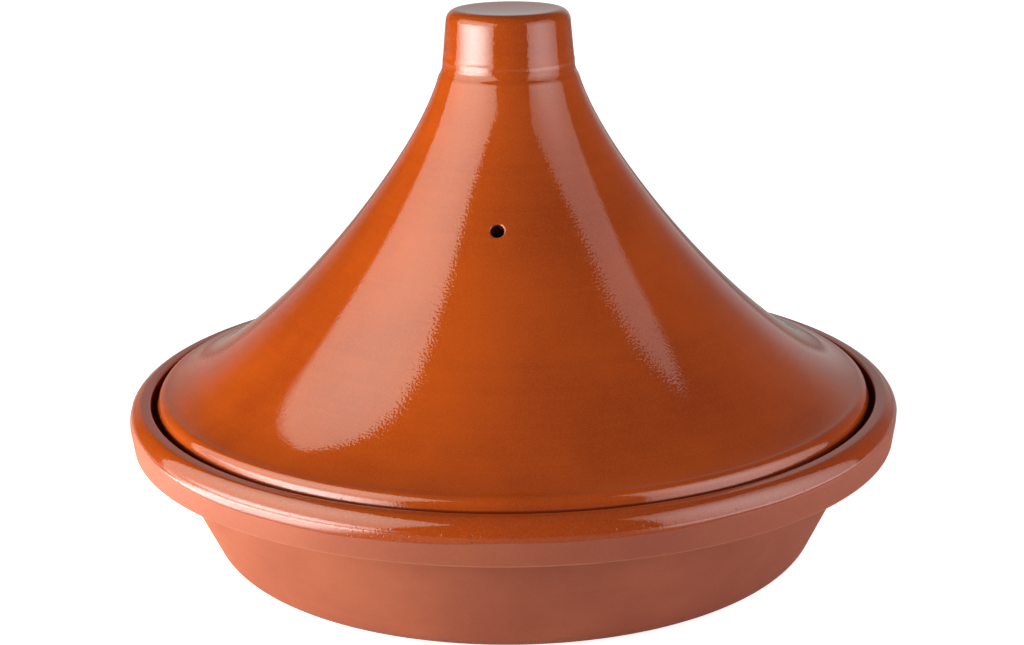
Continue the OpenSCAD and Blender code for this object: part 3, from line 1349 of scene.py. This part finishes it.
@dataclass
class Studio:
    """A pale table, a white backdrop, softboxes and the camera."""

    facing: float = 5.2  # the camera's azimuth, in degrees
    camera_distance: float = 828.3  # from the pot's axis, in millimetres
    camera_height: float = 335.6
    camera_pitch: float = 16.43  # degrees below level
    camera_roll: float = 0.724  # degrees
    lens: float = 72.5  # focal length on a sensor 36 mm wide
    sensor: float = 36.0
    table_size: float = 6.0  # metres
    table_whiteness: float = 0.84
    table_roughness: float = 0.9
    table_glow: float = 0.8  # what the camera sees of the table in full shade
    table_near: Span = (0.2, 0.45)  # distances from the pot's axis, in metres, over which it turns white
    backdrop: float = 0.42  # radiance of the backdrop, as the glaze mirrors it
    backdrop_span: Span = (0.75, 1.0)  # how far behind the pot, from level at 0 to straight behind at 1
    hall: float = 0.1  # radiance of the room behind the pot and to its right
    hall_behind: Span = (0.5, 0.9)
    hall_aside: Span = (-0.3, 0.3)
    gloom: float = 0.09  # radiance of the room's dim right side
    gloom_aside: Span = (-0.7, 0.1)
    fill: float = 0.2  # radiance of the room as it lights the clay
    spills: tuple[Spill, ...] = (
        Spill(-63, 34, 172, 290, 10.2),
        Spill(66, 42, 190, 400, 1.6),
    )
    softboxes: tuple[Softbox, ...] = (
        Softbox("key", Use.LIGHT, -73, 1190, 900, 10, 490, 14.6, tint=Tint.SUNNY),
        Softbox("front", Use.LIGHT, 32, 1400, 1400, 210, 1110, 1.5),
        Softbox("weak", Use.LIGHT, 88, 1190, 900, 10, 710, 1.9),
        Softbox("left_panel", Use.GLEAM, -62.2, 308, 487, -4, 438, 5.4,
                turn=-6.6, lean=20.5, edge=0.42, middle=(0.57, 0.64), reach=0.65, tint=Tint.WARM),
        Softbox("left_core", Use.GLEAM, -65, 1100, 1900, 0, 460, 12.6, edge=0.0, tint=Tint.COOL),
        Softbox("right_panel", Use.GLEAM, 63, 350, 410, 10, 507, 4.4,
                turn=1.2, edge=0.3, middle=(0.4, 0.4), reach=0.65, tint=Tint.ROSY),
    )

    def build_camera(self) -> None:
        """Make the camera."""
        data = bpy.data.cameras.new("camera")
        data.lens = self.lens
        data.sensor_width = self.sensor
        camera = add_object("camera", data)
        turn_by = math.radians(self.facing)
        camera.location = Vector((self.camera_distance * math.sin(turn_by),
                                  -self.camera_distance * math.cos(turn_by), self.camera_height)) * MM
        aim = Matrix.Rotation(turn_by, 3, "Z") @ Matrix.Rotation(math.radians(90 - self.camera_pitch), 3, "X")
        camera.rotation_euler = (aim @ Matrix.Rotation(math.radians(-self.camera_roll), 3, "Z")).to_euler()
        bpy.context.scene.camera = camera

    def build_table(self) -> None:
        """Make the pale table top, which the camera sees as white but for the pot's shadow."""
        mesh = bmesh.new()
        bmesh.ops.create_grid(mesh, x_segments=1, y_segments=1, size=self.table_size / 2)
        data = bpy.data.meshes.new("table")
        mesh.to_mesh(data)
        mesh.free()
        table = add_object("table", data)
        finish = Finish.start("table")
        shader = finish.shader
        x, y, _ = shader.axes(finish.place)
        away = finish.radius.rise(*self.table_near)
        left, right = (spill.glow(x, y, self.facing) for spill in self.spills)
        rays = shader.node("ShaderNodeLightPath")
        seen, mirrored = shader.wire(rays, "Is Camera Ray"), shader.wire(rays, "Is Glossy Ray")
        level = seen * (self.table_glow + away * (1 - self.table_glow)) + mirrored * (left + right)
        white = self.table_whiteness
        finish.set(Base_Color=(white, white, white, 1), Roughness=self.table_roughness,
                   Specular_IOR_Level=0.0, Emission_Strength=1.0,
                   Emission_Color=shader.vector(level, level, level))
        data.materials.append(finish.material)

    def build_world(self) -> None:
        """Make the world: white to the camera, and to the glaze behind the pot; a soft fill on the clay."""
        world = bpy.data.worlds.new("studio")
        bpy.context.scene.world = world
        world.use_nodes = True
        shader = Shader(world.node_tree)
        rays = shader.node("ShaderNodeLightPath")
        direction = shader.wire(shader.node("ShaderNodeTexCoord"), "Generated")
        x, y, _ = shader.axes(direction)
        turn_by = math.radians(self.facing)
        behind = y * math.cos(turn_by) - x * math.sin(turn_by)
        aside = x * math.cos(turn_by) + y * math.sin(turn_by)
        hall = behind.rise(*self.hall_behind) * aside.rise(*self.hall_aside) * self.hall
        backdrop = behind.rise(*self.backdrop_span) * self.backdrop
        mirrored = aside.rise(*self.gloom_aside) * self.gloom + hall + backdrop
        glossy, seen = shader.wire(rays, "Is Glossy Ray"), shader.wire(rays, "Is Camera Ray")
        level = self.fill + glossy * (mirrored - self.fill)
        level = level + seen * (1 - level)
        background = world.node_tree.nodes["Background"]
        background.inputs["Color"].default_value = (1, 1, 1, 1)
        connect(shader.tree, level, background.inputs["Strength"])

    def build(self) -> None:
        """Make the whole studio."""
        self.build_camera()
        self.build_world()
        self.build_table()
        for softbox in self.softboxes:
            softbox.build(self.facing)
        bpy.context.scene.view_settings.view_transform = "Standard"


def main() -> None:
    """Build the studio, the dish and the lid."""
    logging.basicConfig(level=logging.INFO, format="%(name)s: %(message)s")
    Studio().build()
    dish = Dish()
    lid = Lid(dish)
    clay = BareClay(*dish.rim_low, dish.rim_edge_round).build()
    glaze = HoneyGlaze(lid.vent_frame(), lid.vent_diameter / 2, lid.lip_radius,
                       dish.rim_inner_radius, dish.seat_height, dish.height).build()
    dish.build(clay, glaze)
    lid.build(clay, glaze)
    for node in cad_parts:
        low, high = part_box(node)
        log.info("%s is %.1f mm wide and %.1f mm high", node, (high.x - low.x) / MM, (high.z - low.z) / MM)


if __name__ == "__main__":
    main()
